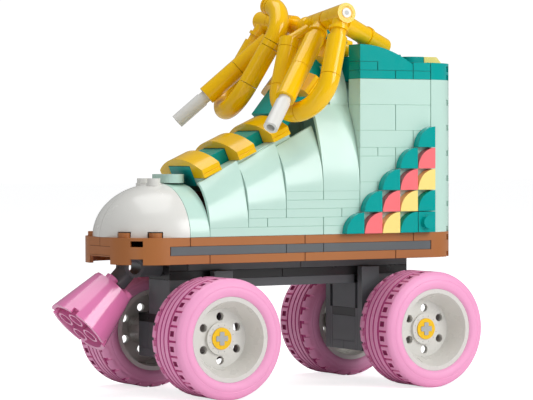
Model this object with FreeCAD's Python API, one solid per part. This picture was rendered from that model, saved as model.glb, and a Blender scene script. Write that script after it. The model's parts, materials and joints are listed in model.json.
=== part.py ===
import FreeCAD, Part
import math
import os

from FreeCAD import Vector

# A brick-built roller skate: a display toy made of interlocking plastic bricks.
# Lengths are in millimetres. The model is laid out on the stud grid: X runs along
# the skate with the toe at -X, the left side is -Y, and Z = 0 is the underside of
# the sole. The last step moves every piece so that the skate stands on Z = 0 with
# the origin at the middle of its footprint.

# ---- the building system ---------------------------------------------------------
PITCH = 8.0
PLATE = 3.2
BRICK = 9.6
GAP = 0.1                 # each piece stops this far short of its grid line
WALL = 1.5                # wall of a hollow piece
ROOF = 1.0                # top skin of a hollow piece
STUD_R = 2.4
STUD_H = 1.7
TUBE_R = 3.2              # underside tube, outside
TUBE_BORE_R = 2.45
RIB_R = 1.5               # underside pin of a one-stud-wide piece
HOLE_R = 2.45             # round hole that a rod turns in
ROD_R = 2.4               # cross rod, over its arms
ROD_ARM = 1.8             # thickness of one arm of the cross rod
ROD_EASE = 0.05           # gap each side of the rod in a cross-shaped hole

# ---- sole ------------------------------------------------------------------------
TOE_X = -16 * PITCH
HEEL_X = 2 * PITCH
HALF_WIDTH = 3 * PITCH
SOLE_CORNER_R = 2 * PITCH
SOLE_H = 3 * PLATE
EDGE_TILE_FRONT = -14 * PITCH
EDGE_TILE_BACK = 0.0
CORNER_SLOT_W = 4.6       # pry slot in the lower edge of a rounded corner piece
CORNER_SLOT_H = 2.1
ARM_SLOT_H = 2.6          # channel under the toe for the stop's arm

# ---- boot ------------------------------------------------------------------------
SHAFT_FRONT = -4 * PITCH
SHAFT_COURSES = 6
SHAFT_TOP = SOLE_H + SHAFT_COURSES * BRICK
TOE_DOME_X = -13 * PITCH
TOE_BAND_X = -12 * PITCH
TOE_H = 2 * BRICK
TOE_SHELL = 1.6
TOE_SEAT_H = 3.0          # round foot under the stud on the crown of the toe cap
TOE_SEAT_RIM = 0.4
RELIEF_R = STUD_R + 0.4   # recess in the toe cap round a bare stud
RELIEF_RISE = STUD_H + 0.4
RELIEF_DEPTH = 1.0        # the recess is cut this far past the cap's lower edge
RELIEF_BOSS_R = 4.4       # solid part of the cap that the recess is cut in
RELIEF_BOSS_H = 3.6
PANEL_LEAN = 8.2          # how far a vamp panel curves inwards
PANEL_SHELL = 1.5
TONGUE_SIDE_LEAN = 6.0     # the same for the short panel beside the tongue
MOSAIC_THICK = 3.2

# ---- instep and tongue -----------------------------------------------------------
INSTEP_ANGLE = 24.0
INSTEP_X = -93.6
INSTEP_Z = 30.4
INSTEP_LENGTH = 40.2
RIDGE_RISE = 4.8
ARCH_CROWN = 7.7
ARCH_END = 3.2
ARCH_FIT = 0.08           # slip between an arch and the ridge under it
TONGUE_ANGLE = 50.0
TONGUE_X = -56.4
TONGUE_Z = 51.2
TONGUE_LENGTH = 42.0
UPPER_ARCHES = (12.0, 27.6)   # where the two upper lace arches start along the tongue

# ---- wheels and trucks -----------------------------------------------------------
FRONT_AXLE_X = -12 * PITCH
REAR_AXLE_X = -1 * PITCH
AXLE_Z = -4 * BRICK + 2 * PLATE + 5.8
TYRE_R = 21.6
TYRE_IN = 17.5
TYRE_OUT = 39.5
RIM_R = 15.2
RIM_IN = 18.5
RIM_OUT = 38.5
RIM_DISC = 31.0
RIM_DISC_THICK = 1.8
HUB_R = 5.8
HUB_IN = 16.8
HUB_FACE = 32.0
HUB_POCKET = 28.3
BUSH_R = 3.9
BUSH_OUT = 32.4
RIM_HOLE_R = 1.5
RIM_HOLE_CIRCLE = 7.8
STAND = TYRE_R - AXLE_Z   # height of the sole's underside above the floor

# ---- toe stop --------------------------------------------------------------------
ELBOW_X = -115.8
ELBOW_Z = -1.6
ELBOW_R = 3.7
ELBOW_ARM = 8.8
STOP_ANGLE = 45.0
STOP_TOP = 10.5           # elbow centre to the small end of the stop
STOP_H = 2 * BRICK
STOP_TOP_R = 8.0
STOP_BASE_R = 12.0

# ---- laces: rigid tubes hung on the two arms of the knot --------------------------
LACE_R = 3.7
LACE_BORE_R = 2.4
LACE_SECTION = 2 * PITCH
KNOT = Vector(-40.1, 0, SHAFT_TOP + 20.0)
ARM_REACH = Vector(-1.9, -27.0, 3.2)
ARM_LENGTH = 31.0
LACE_EYE = (10.3, 16.5)
STEM_COLLAR = (17.4, 22.8)
LACE_STATION = 12.9       # where the neck of a lace end meets the arm
OUTER_EYE = (23.0, 31.2)
OUTER_STATION = 27.3
INNER_EYE = (4.4, 8.0)
SPACER_COLLAR = (8.2, 9.8)
KNOT_BALL_R = 3.9
LACE_DIR = Vector(-0.613, -0.341, -0.712)
LOOP_DIR = Vector(-0.355, -0.250, -0.900)
LOOP_SIDE = Vector(-0.300, 0.940, -0.165)
LOOP_R = 12.3
TOP_LINK = 2.4            # straight piece under the bend that arches over the right arm
RIGHT_LEAN = 5.0          # the right loop and lace hang this much further forward, in degrees
NECK_R = 2.9
INNER_NECK_R = 1.7
FLANGE = (5.6, 6.8)       # flange on a neck, measured from the arm's centre line
NECK_LENGTH = 9.4
AGLET_R = 2.7
AGLET_BORE_R = 1.6
AGLET_LENGTH = 14.8
STEM_FOOT = Vector(-13.5, -12.0, SHAFT_TOP + 12.4)
STEM_STATION = 21.3
STEM_ROOT_R = 2.1
STEM_SHOULDER = 5.9       # the stem is thin this far from the arm, so the eyes can turn

nodes = {}


def keep(name, shapes):
    """Add finished solids to the node of that name."""
    nodes.setdefault(name, []).extend(shapes)


def box(x0, x1, y0, y1, z0, z1):
    return Part.makeBox(x1 - x0, y1 - y0, z1 - z0, Vector(x0, y0, z0))


def rod(radius, start, end):
    return Part.makeCylinder(radius, (end - start).Length, start, end - start)


def mirrored(shape):
    """The same piece on the other side of the skate."""
    return shape.mirror(Vector(0, 0, 0), Vector(0, 1, 0))


def both_sides(shapes):
    return list(shapes) + [mirrored(shape) for shape in shapes]


def unit(vector):
    return Vector(vector).normalize()


def cell_centres(low, high):
    count = int(round((high - low) / PITCH))
    return [low + (index + 0.5) * PITCH for index in range(count)]


def inner_lines(low, high):
    count = int(round((high - low) / PITCH))
    return [low + index * PITCH for index in range(1, count)]


def stud(x, y, z):
    return Part.makeCylinder(STUD_R, STUD_H + 0.2, Vector(x, y, z - 0.2))


def studs_on(x0, x1, y0, y1, z):
    return [stud(x, y, z) for x in cell_centres(x0, x1) for y in cell_centres(y0, y1)]


def under_fittings(x0, x1, y0, y1, z0, z1):
    """Tubes under a wide piece, or thin pins under a one-stud-wide piece."""
    across = inner_lines(y0, y1)
    along = inner_lines(x0, x1)
    height = z1 - z0 - ROOF + 0.2
    if across and along:
        tubes = []
        for x in along:
            for y in across:
                tube = Part.makeCylinder(TUBE_R, height, Vector(x, y, z0))
                tubes.append(tube.cut(Part.makeCylinder(TUBE_BORE_R, height, Vector(x, y, z0))))
        return tubes
    if across:
        x = (x0 + x1) / 2
        return [Part.makeCylinder(RIB_R, height, Vector(x, y, z0)) for y in across]
    y = (y0 + y1) / 2
    return [Part.makeCylinder(RIB_R, height, Vector(x, y, z0)) for x in along]


def brick(x0, x1, y0, y1, z0, z1, studs=True, fittings=True):
    """A hollow brick, plate or tile that fills this stretch of the grid."""
    body = box(x0 + GAP, x1 - GAP, y0 + GAP, y1 - GAP, z0, z1)
    body = body.cut(box(x0 + WALL, x1 - WALL, y0 + WALL, y1 - WALL, z0, z1 - ROOF))
    extras = []
    if fittings:
        extras += under_fittings(x0, x1, y0, y1, z0, z1)
    if studs:
        extras += studs_on(x0, x1, y0, y1, z1)
    return body.fuse(extras) if extras else body


def rounded_slab(inset, z0, z1):
    """The sole's outline, drawn in by the inset, as a slab."""
    x0, x1 = TOE_X + inset, HEEL_X - inset
    y1 = HALF_WIDTH - inset
    radius = SOLE_CORNER_R - inset
    slab = box(x0, x1, -y1, y1, z0, z1)
    upright = [edge for edge in slab.Edges if abs(edge.tangentAt(edge.FirstParameter).z) > 0.9]
    return slab.makeFillet(radius, upright)


def corner_slots(z0):
    """Cutters for the pry slots at the four rounded corners."""
    cutters = []
    for x_centre, turn in ((TOE_X + SOLE_CORNER_R, 180), (HEEL_X - SOLE_CORNER_R, 0)):
        for side in (-1, 1):
            depth = 2 * WALL
            cutter = box(SOLE_CORNER_R - depth, SOLE_CORNER_R + 1, -CORNER_SLOT_W / 2,
                         CORNER_SLOT_W / 2, z0, z0 + CORNER_SLOT_H)
            angle = side * 45 if turn == 0 else 180 - side * 45
            cutter.rotate(Vector(0, 0, 0), Vector(0, 0, 1), angle)
            cutter.translate(Vector(x_centre, side * (HALF_WIDTH - SOLE_CORNER_R), 0))
            cutters.append(cutter)
    return cutters


def sole_piece(x0, x1, y0, y1, z0, z1):
    """One hollow plate of the sole, cut to the rounded outline."""
    solid = rounded_slab(GAP, z0, z1).common(box(x0 + GAP, x1 - GAP, y0 + GAP, y1 - GAP, z0, z1))
    pocket = rounded_slab(WALL, z0, z1 - ROOF)
    pocket = pocket.common(box(x0 + WALL, x1 - WALL, y0 + WALL, y1 - WALL, z0, z1 - ROOF))
    return solid.cut(pocket)


def plate_row(xs, y0, y1, z0, z1, maker):
    return [maker(a, b, y0, y1, z0, z1) for a, b in zip(xs, xs[1:])]


# ---- sole ------------------------------------------------------------------------
def build_sole():
    base_top = PLATE
    middle_top = 2 * PLATE
    inner = 2 * PITCH
    # Bottom layer: a brown border of plates with a channel under the toe.
    base_lines = [TOE_X, -12 * PITCH, -7 * PITCH, -2 * PITCH, HEEL_X]
    channel = box(TOE_X - 1, -12 * PITCH + PITCH / 2, -PITCH + GAP, PITCH - GAP, -1, ARM_SLOT_H)
    base = plate_row(base_lines, -HALF_WIDTH, HALF_WIDTH, 0, base_top, sole_piece)
    keep("sole_base", [piece.cut([channel] + corner_slots(0)) for piece in base])
    # Middle layer: brown rounded ends, flush grey edge tiles, and a dark core.
    ends = [(TOE_X, EDGE_TILE_FRONT), (EDGE_TILE_BACK, HEEL_X)]
    keep("sole_end_plates", [sole_piece(a, b, -HALF_WIDTH, HALF_WIDTH, base_top, middle_top)
                             for a, b in ends])
    tile_lines = [EDGE_TILE_FRONT, -8 * PITCH, -6 * PITCH, EDGE_TILE_BACK]
    tiles = plate_row(tile_lines, -HALF_WIDTH, -inner, base_top, middle_top,
                      lambda *size: brick(*size, studs=False))
    keep("sole_edge_tiles", both_sides(tiles))
    core_lines = [EDGE_TILE_FRONT, -10 * PITCH, -5 * PITCH, EDGE_TILE_BACK]
    keep("sole_core", plate_row(core_lines, -inner, inner, base_top, middle_top,
                                lambda *size: brick(*size, studs=False)))
    # Top layer: brown deck plates with bare studs at the two front corners.
    deck = [sole_piece(TOE_X, TOE_DOME_X, 0, HALF_WIDTH, middle_top, SOLE_H)]
    deck = deck + [mirrored(deck[0])]
    deck += plate_row([TOE_DOME_X, -7 * PITCH, -1 * PITCH, HEEL_X], -HALF_WIDTH, HALF_WIDTH,
                      middle_top, SOLE_H, sole_piece)
    deck = [piece.cut(corner_slots(middle_top)) for piece in deck]
    corner_studs = [stud(x, y, SOLE_H) for x, y in bare_studs()]
    deck[0] = deck[0].fuse(corner_studs)
    deck[1] = deck[1].fuse([mirrored(piece) for piece in corner_studs])
    keep("sole_deck", deck)
    # A smooth floor inside the shaft.
    floor = plate_row([-3 * PITCH, -PITCH, 0], -inner, inner, SOLE_H, SOLE_H + PLATE,
                      lambda *size: brick(*size, studs=False))
    keep("insole_tiles", floor)


def bare_studs():
    """Stud centres that stay bare at the right front corner of the deck."""
    return [(TOE_X + PITCH / 2, 1.5 * PITCH), (TOE_X + 1.5 * PITCH, 2.5 * PITCH)]


# ---- toe cap ---------------------------------------------------------------------
def quarter_dome(shrink):
    """A solid octant of the toe: round in plan, elliptical in height, right side."""
    reach = HALF_WIDTH - GAP - shrink
    height = TOE_H - shrink
    centre = Vector(0, 0, 0)
    curve = Part.Ellipse(Vector(reach, 0, 0), Vector(0, height, 0), centre)
    arc = Part.ArcOfEllipse(curve, 0, math.pi / 2).toShape()
    upright = Part.makeLine(Vector(0, height, 0), centre)
    floor = Part.makeLine(centre, Vector(reach, 0, 0))
    face = Part.Face(Part.Wire([floor, arc, upright]))
    face.rotate(centre, Vector(1, 0, 0), 90)
    face.rotate(centre, Vector(0, 0, 1), 90)
    dome = face.revolve(centre, Vector(0, 0, 1), 90)
    dome.translate(Vector(TOE_DOME_X - GAP, GAP, SOLE_H))
    return dome


def toe_cap_half():
    outer = quarter_dome(0)
    inner = quarter_dome(TOE_SHELL)
    inside = box(TOE_X, TOE_DOME_X - TOE_SHELL, TOE_SHELL, HALF_WIDTH, SOLE_H, SOLE_H + TOE_H)
    half = outer.cut(inner.common(inside))
    top = SOLE_H + TOE_H
    x, y = TOE_DOME_X - PITCH / 2, PITCH / 2
    seat = Part.makeCylinder(STUD_R + TOE_SEAT_RIM, TOE_SEAT_H, Vector(x, y, top - TOE_SEAT_H))
    half = half.fuse([seat, stud(x, y, top)])
    bosses = []
    reliefs = []
    for stud_x, stud_y in bare_studs():
        foot = Vector(stud_x, stud_y, SOLE_H)
        bosses.append(Part.makeCylinder(RELIEF_BOSS_R, RELIEF_BOSS_H, foot).common(outer))
        foot = Vector(stud_x, stud_y, SOLE_H - RELIEF_DEPTH)
        reliefs.append(Part.makeCylinder(RELIEF_R, RELIEF_DEPTH + RELIEF_RISE, foot))
    return half.fuse(bosses).cut(reliefs)


def build_toe():
    right = toe_cap_half()
    keep("toe_cap_right", [right])
    keep("toe_cap_left", [mirrored(right)])
    # The band behind the cap carries on the same rounded section.
    top = SOLE_H + TOE_H

    def band_section(shrink):
        reach = HALF_WIDTH - GAP - shrink
        height = TOE_H - shrink
        curve = Part.Ellipse(Vector(0, reach, 0), Vector(0, 0, height), Vector(0, 0, 0))
        arc = Part.ArcOfEllipse(curve, 0, math.pi / 2).toShape()
        side = [Part.makeLine(Vector(0, 0, height), Vector(0, 0, 0)),
                Part.makeLine(Vector(0, 0, 0), Vector(0, reach, 0))]
        face = Part.Face(Part.Wire([arc] + side))
        face.translate(Vector(TOE_DOME_X, GAP, SOLE_H))
        return face.extrude(Vector(PITCH, 0, 0))

    solid = band_section(0).common(box(TOE_DOME_X + GAP, TOE_BAND_X - GAP, 0, HALF_WIDTH,
                                       SOLE_H, top))
    inside = box(TOE_DOME_X + WALL, TOE_BAND_X - WALL, WALL, HALF_WIDTH, SOLE_H, top)
    half = solid.cut(band_section(TOE_SHELL).common(inside))
    keep("toe_band", both_sides([half]))
    radius = PITCH / 2 - GAP
    x = (TOE_DOME_X + TOE_BAND_X) / 2
    ends = [Part.makeCylinder(radius, PLATE, Vector(x, side * PITCH / 2, top)) for side in (-1, 1)]
    bar = box(x - radius, x + radius, -PITCH / 2, PITCH / 2, top, top + PLATE).fuse(ends)
    keep("toe_bridge_tile", [bar])


# ---- vamp ------------------------------------------------------------------------
def panel_face(x, base, top, foot_y, lean):
    """Section of a curved side panel: upright at its foot, leaning in at its top."""
    rise = top - base
    radius = (lean ** 2 + rise ** 2) / (2 * lean)
    sweep = math.asin(rise / radius)

    def leaf(offset):
        centre_y = foot_y - radius
        points = []
        for angle in (0, sweep / 2, sweep):
            y = centre_y + radius * math.cos(angle) - offset
            points.append(Vector(x, y, base + radius * math.sin(angle)))
        return points

    outer = leaf(0)
    inner = leaf(PANEL_SHELL)
    edges = [Part.Arc(*outer).toShape(), Part.makeLine(outer[2], inner[2]),
             Part.Arc(*inner).toShape(), Part.makeLine(inner[0], outer[0])]
    return Part.Wire(Part.__sortEdges__(edges))


def curved_panel(x0, x1, base, top_front, top_back, foot_y, lean=PANEL_LEAN):
    front = panel_face(x0 + GAP, base, top_front, foot_y, lean)
    back = panel_face(x1 - GAP, base, top_back, foot_y, lean)
    return Part.makeLoft([front, back], True, True)


def build_vamp():
    plate = PLATE
    edge = HALF_WIDTH - GAP
    panels = []
    # Front three panels climb by two plates each; the fourth is level and tall.
    first_base = SOLE_H + plate
    for index in range(3):
        x0 = TOE_BAND_X + 2 * index * PITCH
        base = first_base + 2 * index * plate
        panels.append(curved_panel(x0, x0 + 2 * PITCH, base, base + 5 * plate,
                                   base + 7.5 * plate, edge))
    wall_top = SOLE_H + 5 * plate
    high_top = SOLE_H + 15 * plate
    panels.append(curved_panel(-6 * PITCH, SHAFT_FRONT, wall_top, high_top, high_top, edge))
    tongue_edge = edge - PANEL_LEAN
    panels.append(curved_panel(-5 * PITCH, SHAFT_FRONT, high_top, high_top + 4.5 * plate,
                               high_top + 5 * plate, tongue_edge, TONGUE_SIDE_LEAN))
    keep("vamp_panels_right", panels)
    keep("vamp_panels_left", [mirrored(panel) for panel in panels])
    # Straight courses under the panels, stepping up towards the shaft.
    courses = [
        [-12 * PITCH, -6 * PITCH, SHAFT_FRONT],
        [-10 * PITCH, -9 * PITCH, -6 * PITCH, SHAFT_FRONT],
        [-10 * PITCH, -8 * PITCH, -5 * PITCH, SHAFT_FRONT],
        [-8 * PITCH, SHAFT_FRONT],
        [-8 * PITCH, -6 * PITCH, SHAFT_FRONT],
    ]
    walls = []
    for level, lines in enumerate(courses):
        z0 = SOLE_H + level * plate
        walls += plate_row(lines, 2 * PITCH, HALF_WIDTH, z0, z0 + plate,
                           lambda *size: brick(*size, studs=False))
    keep("vamp_wall_plates", both_sides(walls))
    # Bricks inside the vamp that carry the instep.
    core = []
    lines = [TOE_BAND_X, -10 * PITCH, -8 * PITCH, -6 * PITCH]
    for index, (x0, x1) in enumerate(zip(lines, lines[1:])):
        top = first_base + 2 * index * plate + 4 * plate
        core.append(brick(x0, x1, -PITCH, PITCH, SOLE_H, top - BRICK, studs=False))
        core.append(brick(x0, x1, -PITCH, PITCH, top - BRICK, top, studs=False))
    keep("instep_core", core)


# ---- instep and tongue -----------------------------------------------------------
def inclined(shape, x, z, angle):
    """Turn a piece built along +X about the Y axis, then put its base line at (x, z)."""
    shape.rotate(Vector(0, 0, 0), Vector(0, 1, 0), -angle)
    shape.translate(Vector(x, 0, z))
    return shape


def lace_arch(start):
    """A curved cross-piece that bridges the ridge, 4 studs wide and 1 stud long."""
    half = 2 * PITCH - GAP
    length = PITCH - 2 * GAP
    opening = PITCH + ARCH_FIT - GAP / 2
    rise = ARCH_CROWN - ARCH_END
    outline = [Part.makeLine(Vector(0, -half, 0), Vector(0, -half, ARCH_END)),
               Part.Arc(Vector(0, -half, ARCH_END), Vector(0, 0, ARCH_CROWN),
                        Vector(0, half, ARCH_END)).toShape(),
               Part.makeLine(Vector(0, half, ARCH_END), Vector(0, half, 0)),
               Part.makeLine(Vector(0, half, 0), Vector(0, -half, 0))]
    solid = Part.Face(Part.Wire(outline)).extrude(Vector(length, 0, 0))
    tunnel = box(-1, length + 1, -opening, opening, -1, RIDGE_RISE + ARCH_FIT)
    groove_z = ARCH_END / 2
    grooves = [box(-1, length + 1, side * half - 0.3, side * half + 0.3, groove_z - 0.15,
                   groove_z + 0.15) for side in (-1, 1)]
    solid = solid.cut([tunnel] + grooves)
    solid.translate(Vector(start + GAP, 0, 0))
    return solid


def build_instep():
    ridge = box(0, INSTEP_LENGTH, -PITCH + GAP, PITCH - GAP, -PLATE, RIDGE_RISE)
    seams = [box(x - GAP, x + GAP, -PITCH, PITCH, -PLATE - 1, RIDGE_RISE + 1)
             for x in (2 * PITCH, 4 * PITCH)]
    ridge = ridge.cut(seams)
    keep("tongue_ridge", [inclined(piece, INSTEP_X, INSTEP_Z, INSTEP_ANGLE)
                          for piece in ridge.Solids])
    rail_out = HALF_WIDTH - PANEL_LEAN - PANEL_SHELL - 0.3
    rail = box(0, INSTEP_LENGTH, PITCH + GAP, rail_out, -PLATE, -0.02)
    keep("vamp_wedge_plates", [inclined(piece, INSTEP_X, INSTEP_Z, INSTEP_ANGLE)
                               for piece in both_sides([rail])])
    arches = [inclined(lace_arch(2 * index * PITCH), INSTEP_X, INSTEP_Z, INSTEP_ANGLE)
              for index in range(3)]
    # The upper tongue is steeper and leans back into the shaft.
    tongue = box(0, TONGUE_LENGTH, -PITCH + GAP, PITCH - GAP, -PLATE, RIDGE_RISE)
    cuts = [box(x - GAP, x + GAP, -PITCH, PITCH, -PLATE - 1, RIDGE_RISE + 1)
            for x in (2 * PITCH, 4 * PITCH)]
    keep("tongue_upper", [inclined(piece, TONGUE_X, TONGUE_Z, TONGUE_ANGLE)
                          for piece in tongue.cut(cuts).Solids])
    arches += [inclined(lace_arch(start), TONGUE_X, TONGUE_Z, TONGUE_ANGLE)
               for start in UPPER_ARCHES]
    keep("lace_arches", arches)


# ---- shaft -----------------------------------------------------------------------
def corner_brick(z0, z1, slot=True):
    """A rounded two-by-two piece at the right rear corner."""
    x0, x1 = HEEL_X - SOLE_CORNER_R, HEEL_X
    y0, y1 = HALF_WIDTH - SOLE_CORNER_R, HALF_WIDTH

    def quarter(inset, top):
        block = box(x0 + inset, x1, y0 + inset, y1, z0, top)
        disc = Part.makeCylinder(SOLE_CORNER_R - inset, top - z0, Vector(x0, y0, z0))
        return block.common(disc)

    piece = quarter(GAP, z1).cut(quarter(WALL, z1 - ROOF))
    if slot:
        piece = piece.cut(corner_slots(z0))
    return piece


def build_shaft():
    inner = 2 * PITCH
    levels = [0, 3, 6, 9, 10, 12, 15, 18]
    seams = {0: [], 1: [-3 * PITCH], 2: [-2 * PITCH], 3: [-3 * PITCH, -2 * PITCH], 4: [-PITCH],
             5: [-2 * PITCH], 6: []}
    walls = []
    for index, (low, high) in enumerate(zip(levels, levels[1:])):
        lines = [SHAFT_FRONT] + seams[index] + [0.0]
        z0, z1 = SOLE_H + low * PLATE, SOLE_H + high * PLATE
        last = index == len(levels) - 2
        walls += plate_row(lines, inner, HALF_WIDTH, z0, z1,
                           lambda *size: brick(*size, studs=not last))
    keep("shaft_bricks_right", walls)
    keep("shaft_bricks_left", [mirrored(wall) for wall in walls])
    heel = []
    for course in range(SHAFT_COURSES):
        z0 = SOLE_H + course * BRICK
        corner = corner_brick(z0, z0 + BRICK)
        heel += both_sides([corner])
        heel.append(brick(PITCH, HEEL_X, -PITCH, PITCH, z0, z0 + BRICK, studs=False))
    keep("heel_bricks", heel)


def quarter_tile(x0, z0):
    """A quarter-round tile on the right side, its square corner low and to the rear."""
    size = PITCH - 2 * GAP
    corner_x, corner_z = x0 + PITCH - GAP, z0 + GAP
    tile = box(x0 + GAP, corner_x, HALF_WIDTH, HALF_WIDTH + MOSAIC_THICK, corner_z, corner_z + size)
    disc = Part.makeCylinder(size, MOSAIC_THICK, Vector(corner_x, HALF_WIDTH, corner_z),
                             Vector(0, 1, 0))
    return tile.common(disc)


def build_mosaic():
    # Colours run along each row from the toe side to the heel side.
    rows = [
        (-5, ["teal", "coral", "yellow", "teal"]),
        (-4, ["teal", "coral", "yellow", "teal"]),
        (-3, ["teal", "coral", "yellow"]),
        (-2, ["teal", "coral"]),
        (-1, ["teal"]),
    ]
    for level, (start, colours) in enumerate(rows):
        for step, colour in enumerate(colours):
            tile = quarter_tile((start + step) * PITCH, SOLE_H + level * PITCH)
            keep("mosaic_tiles_" + colour, both_sides([tile]))
    plate_x = -PITCH
    plate = box(plate_x + GAP, -GAP, HALF_WIDTH, HALF_WIDTH + MOSAIC_THICK, SOLE_H + GAP,
                SOLE_H + PITCH - GAP)
    knob = Part.makeCylinder(STUD_R, STUD_H + 0.2, Vector(plate_x + PITCH / 2,
                             HALF_WIDTH + MOSAIC_THICK - 0.2, SOLE_H + PITCH / 2), Vector(0, 1, 0))
    keep("mosaic_stud_plates", both_sides([plate.fuse(knob)]))


# ---- collar ----------------------------------------------------------------------
def build_collar():
    inner = 2 * PITCH
    z0 = SHAFT_TOP
    z1, z2 = z0 + PLATE, z0 + 2 * PLATE
    plain = lambda *size: brick(*size, studs=False)
    plates = plate_row([SHAFT_FRONT, -2 * PITCH, -PITCH, 0.0], inner, HALF_WIDTH, z0, z1, plain)
    plates.append(plain(-PITCH, 0.0, inner, HALF_WIDTH, z1, z2))
    plates.append(plain(SHAFT_FRONT, SHAFT_FRONT + PITCH, inner, HALF_WIDTH, z1, z2))
    plates += [corner_brick(z0, z1), corner_brick(z1, z2)]
    # The bracket that the knot's stem stands in reaches in from the wall.
    bracket = brick(-2 * PITCH, -PITCH, PITCH, inner, z0, z0 + BRICK, studs=False)
    plates.append(bracket)
    heel = [plain(PITCH, HEEL_X, -PITCH, PITCH, z0, z1), plain(PITCH, HEEL_X, -PITCH, PITCH, z1, z2)]
    keep("collar_plates", both_sides(plates) + heel)
    # Convex slope, level at the front edge and falling to the heel side.
    x0, x1 = SHAFT_FRONT + GAP, -PITCH - GAP
    front_top = z0 + 4 * PLATE
    back_top = z1 + 2.3
    drop = front_top - back_top
    run = x1 - x0
    radius = (run ** 2 + drop ** 2) / (2 * drop)
    half_angle = math.asin(run / radius) / 2
    middle = Vector(x0 + radius * math.sin(half_angle), 0,
                    front_top - radius + radius * math.cos(half_angle))
    step_x = SHAFT_FRONT + PITCH + GAP
    corners = [Vector(x1, 0, back_top), Vector(x1, 0, z1), Vector(step_x, 0, z1),
               Vector(step_x, 0, z2), Vector(x0, 0, z2), Vector(x0, 0, front_top)]
    edges = [Part.Arc(corners[-1], middle, corners[0]).toShape()]
    edges += [Part.makeLine(a, b) for a, b in zip(corners, corners[1:])]
    slope = Part.Face(Part.Wire(edges)).extrude(Vector(0, PITCH - 2 * GAP, 0))
    slope.translate(Vector(0, inner + GAP, 0))
    keep("collar_slopes", both_sides([slope]))
    # Heel tab: a rounded plate, with a pale bevelled piece behind it.
    tab_h = PLATE - 0.2
    round_r = PITCH - GAP
    tab = box(GAP, PITCH - GAP, -round_r, round_r, z2, z2 + tab_h)
    nose = [edge for edge in tab.Edges if abs(edge.CenterOfMass.x - GAP) < 0.01
            and abs(edge.tangentAt(edge.FirstParameter).z) > 0.9]
    keep("heel_tab_plate", [tab.makeFillet(PITCH / 2, nose)])
    tip = box(PITCH + GAP, HEEL_X - GAP, -round_r, round_r, z2, z2 + tab_h)
    back = [edge for edge in tip.Edges if edge.CenterOfMass.x > HEEL_X - GAP - 0.01
            and edge.CenterOfMass.z > z2 + tab_h - 0.01]
    keep("heel_tab_tip", [tip.makeChamfer(2.0, back)])


# ---- chassis and trucks ----------------------------------------------------------
def build_chassis():
    plain = lambda *size: brick(*size, studs=False)
    top = plate_row([-12 * PITCH, -6 * PITCH, 0.0], -PITCH, PITCH, -PLATE, 0, plain)
    keep("chassis_top_plate", top)
    middle = plate_row([-13 * PITCH, -7 * PITCH, 0.0], -PITCH, PITCH, -2 * PLATE, -PLATE, plain)
    toe_block = box(-13 * PITCH + GAP, -12 * PITCH - GAP, -PITCH + 2 * GAP, PITCH - 2 * GAP,
                    -PLATE, ARM_SLOT_H - GAP)
    tunnel = rod(HOLE_R, Vector(-14 * PITCH, 0, ELBOW_Z), Vector(-11 * PITCH, 0, ELBOW_Z))
    middle = [piece.cut(tunnel) for piece in middle]
    keep("chassis_middle_plate", middle + [toe_block.cut(tunnel)])
    lower = plain(-10 * PITCH, -3 * PITCH, -PITCH, PITCH, -3 * PLATE, -2 * PLATE)
    keep("chassis_lower_plate", [lower])


def build_truck(axle_x, inward):
    """Truck around one axle; inward is +1 or -1, towards the middle of the skate."""
    def span(start, end):
        a, b = axle_x + inward * start, axle_x + inward * end
        return min(a, b), max(a, b)

    plain = lambda *size: brick(*size, studs=False)
    bottom = -SOLE_H - 8 * PLATE
    keeper_top = bottom + PLATE
    hole_top = keeper_top + BRICK
    spacer_top = hole_top + PLATE
    top = -2 * PLATE
    wall = span(PITCH, 2 * PITCH)
    seat = span(-PITCH, PITCH)
    # Wall of bricks on the inward face.
    walls = [plain(*wall, -PITCH, PITCH, keeper_top, hole_top),
             plain(*wall, -PITCH, PITCH, spacer_top, spacer_top + BRICK)]
    walls += [plain(*wall, -PITCH, 0.0, bottom, keeper_top), plain(*wall, 0.0, PITCH, bottom,
                                                                   keeper_top)]
    walls.append(plain(*seat, -PITCH, PITCH, spacer_top, top))
    keep("truck_wall_bricks", walls)
    keep("truck_spacer_plates", [plain(*wall, -PITCH, PITCH, hole_top, spacer_top)]
         + [plain(*seat, side, side + 2 * PITCH, hole_top, spacer_top) for side in (-2 * PITCH, 0)])
    # Four bricks in a row carry the axle in their holes.
    line = [rod(HOLE_R, Vector(axle_x, -3 * PITCH, AXLE_Z), Vector(axle_x, 3 * PITCH, AXLE_Z))]
    bearings = []
    for index in range(4):
        y0 = (index - 2) * PITCH
        block = box(seat[0] + GAP, seat[1] - GAP, y0 + GAP, y0 + PITCH - GAP, keeper_top, hole_top)
        pocket_a = box(seat[0] + WALL, axle_x - 3.6, y0 + WALL, y0 + PITCH - WALL, keeper_top,
                       hole_top - ROOF)
        pocket_b = box(axle_x + 3.6, seat[1] - WALL, y0 + WALL, y0 + PITCH - WALL, keeper_top,
                       hole_top - ROOF)
        bearings.append(block.cut([pocket_a, pocket_b] + line))
    keep("truck_bearing_bricks", bearings)
    keep("truck_keeper_plates", [plain(*seat, -2 * PITCH, 2 * PITCH, bottom, keeper_top)])
    # Thin brackets carry a tall smooth panel on each side of the wall.
    thin = PLATE / 2
    bracket = box(wall[0] + GAP, wall[1] - GAP, PITCH, PITCH + thin, bottom, hole_top + PLATE)
    keep("truck_brackets", both_sides([bracket]))
    panel = box(wall[0] + GAP, wall[1] - GAP, PITCH + thin, PITCH + thin + PLATE, bottom, -PLATE)
    keep("truck_side_panels", both_sides([panel]))


# ---- wheels ----------------------------------------------------------------------
def turned(points, axle_x):
    """Turn a closed outline of (radius, y) points about the axle line."""
    wire = Part.makePolygon([Vector(r, y, 0) for r, y in points + points[:1]])
    solid = Part.Face(wire).revolve(Vector(0, 0, 0), Vector(0, 1, 0), 360)
    solid.translate(Vector(axle_x, 0, AXLE_Z))
    return solid


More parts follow.
